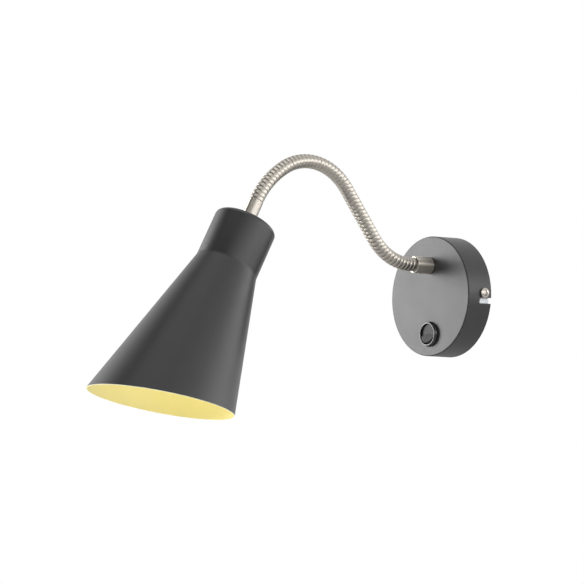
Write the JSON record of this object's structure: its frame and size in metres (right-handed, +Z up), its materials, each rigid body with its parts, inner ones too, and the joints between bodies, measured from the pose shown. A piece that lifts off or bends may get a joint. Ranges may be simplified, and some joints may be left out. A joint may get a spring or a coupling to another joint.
{
  "type": "wall reading lamp",
  "caption": "Wall reading lamp: round canopy with a rocker switch, ribbed flexible gooseneck arm and flared metal shade over a small screw bulb.",
  "frame": {"origin": "centre of the canopy's back rim, on the wall, midway between the two wall screw holes", "axes": "-Y out of the wall, +Z up, +X to the right of a person who faces the wall"},
  "size_m": [0.111, 0.3447, 0.2136],
  "materials": {
    "charcoal_paint": "satin charcoal grey enamel, the shade's inside a warm yellow",
    "zinc_plate": "bright zinc-plated steel",
    "satin_nickel": "satin nickel-plated steel",
    "brass": "plain brass",
    "tinned_brass": "tin-plated brass",
    "white_nylon": "natural white moulded nylon",
    "black_plastic": "glossy black moulded plastic",
    "black_phenolic": "black moulded phenolic",
    "white_ceramic": "glazed white ceramic",
    "nickel_shell": "bright nickel-plated lamp cap",
    "black_glass": "black vitreous insulator",
    "white_plastic": "white moulded plastic",
    "frosted_globe": "frosted white globe",
    "light_board": "white-coated aluminium board with yellow light chips",
    "cable_sheath": "black flexible sheath",
    "brown_wire": "brown insulation",
    "blue_wire": "light blue insulation",
    "earth_wire": "green insulation with a yellow stripe",
    "lead_wire": "two insulated cores, brown and blue"
  },
  "bodies": {
    "wall_body": {"canopy": "charcoal_paint", "wall_bracket": "zinc_plate", "canopy_screws": "zinc_plate", "earth_lug": "brass", "earth_washer": "zinc_plate", "earth_screw": "zinc_plate", "terminal_block": "white_nylon", "terminal_clamps": "brass", "terminal_screws": "zinc_plate", "block_screw": "zinc_plate", "switch_housing": "black_plastic", "switch_terminals": "brass", "spade_receptacles": "tinned_brass", "gooseneck_00": "satin_nickel", "arm_sleeve_wall": "satin_nickel", "arm_nipple_wall": "zinc_plate", "earth_tag": "zinc_plate", "arm_washer_wall": "zinc_plate", "arm_nut_wall": "zinc_plate", "arm_cable": "cable_sheath", "wire_live_feed": "brown_wire", "wire_live_switched": "brown_wire", "wire_neutral": "blue_wire", "wire_earth": "earth_wire"},
    "rocker": {"switch_rocker": "black_plastic"},
    "link_01": {"gooseneck_01": "satin_nickel"},
    "link_02": {"gooseneck_02": "satin_nickel"},
    "link_03": {"gooseneck_03": "satin_nickel"},
    "link_04": {"gooseneck_04": "satin_nickel"},
    "link_05": {"gooseneck_05": "satin_nickel"},
    "link_06": {"gooseneck_06": "satin_nickel"},
    "link_07": {"gooseneck_07": "satin_nickel"},
    "head": {"gooseneck_08": "satin_nickel", "arm_sleeve_head": "satin_nickel", "arm_nipple_head": "zinc_plate", "arm_washer_head": "zinc_plate", "arm_nut_head": "zinc_plate", "shade": "charcoal_paint", "lampholder_cap": "black_phenolic", "lampholder_shell": "black_phenolic", "lampholder_carrier": "white_ceramic", "holder_contacts": "brass", "holder_screws": "zinc_plate", "bulb_tip": "nickel_shell", "bulb_insulator": "black_glass", "bulb_cap": "nickel_shell", "bulb_collar": "white_plastic", "bulb_globe": "frosted_globe", "light_board": "light_board", "lamp_wires": "lead_wire"}
  },
  "joints": [
    {"name": "arm_swing", "type": "hinge", "parent": "wall_body", "child": "link_01", "pos_m": [0, -0.04464, 0.0254], "axis": [0, 0, 1], "range_deg": [-14, 14], "deforming": ["arm_cable"]},
    {"name": "arm_lift", "type": "hinge", "parent": "link_01", "child": "link_02", "pos_m": [0, -0.07134, 0.03345], "axis": [-1, 0, 0], "range_deg": [-14, 4], "deforming": ["arm_cable"]},
    {"name": "arm_swing_2", "type": "hinge", "parent": "link_02", "child": "link_03", "pos_m": [0, -0.09007, 0.05445], "axis": [0, 0.808, 0.5892], "range_deg": [-14, 14], "deforming": ["arm_cable"]},
    {"name": "arm_lift_2", "type": "hinge", "parent": "link_03", "child": "link_04", "pos_m": [0, -0.10676, 0.07733], "axis": [-1, 0, 0], "range_deg": [-14, 4], "deforming": ["arm_cable"]},
    {"name": "head_turn", "type": "hinge", "parent": "link_04", "child": "link_05", "pos_m": [0, -0.12692, 0.09675], "axis": [0, 0.4622, 0.8868], "range_deg": [-14, 14], "deforming": ["arm_cable"]},
    {"name": "arm_curl", "type": "hinge", "parent": "link_05", "child": "link_06", "pos_m": [0, -0.15437, 0.10163], "axis": [-1, 0, 0], "range_deg": [-4, 14], "deforming": ["arm_cable"]},
    {"name": "head_turn_2", "type": "hinge", "parent": "link_06", "child": "link_07", "pos_m": [0, -0.17992, 0.09026], "axis": [0, -0.6106, 0.792], "range_deg": [-14, 14], "deforming": ["arm_cable"]},
    {"name": "arm_curl_2", "type": "hinge", "parent": "link_07", "child": "head", "pos_m": [0, -0.19854, 0.06915], "axis": [-1, 0, 0], "range_deg": [-4, 14], "deforming": ["arm_cable"]},
    {"name": "switch_rocker", "type": "hinge", "parent": "wall_body", "child": "rocker", "pos_m": [0, -0.024, -0.0316], "axis": [1, 0, 0], "range_deg": [0, 24]}
  ],
  "couplings": [
    {"joint": "arm_swing_2", "follows": "arm_swing", "ratio": 1},
    {"joint": "head_turn_2", "follows": "head_turn", "ratio": 1},
    {"joint": "arm_lift_2", "follows": "arm_lift", "ratio": 1},
    {"joint": "arm_curl_2", "follows": "arm_curl", "ratio": 1}
  ]
}
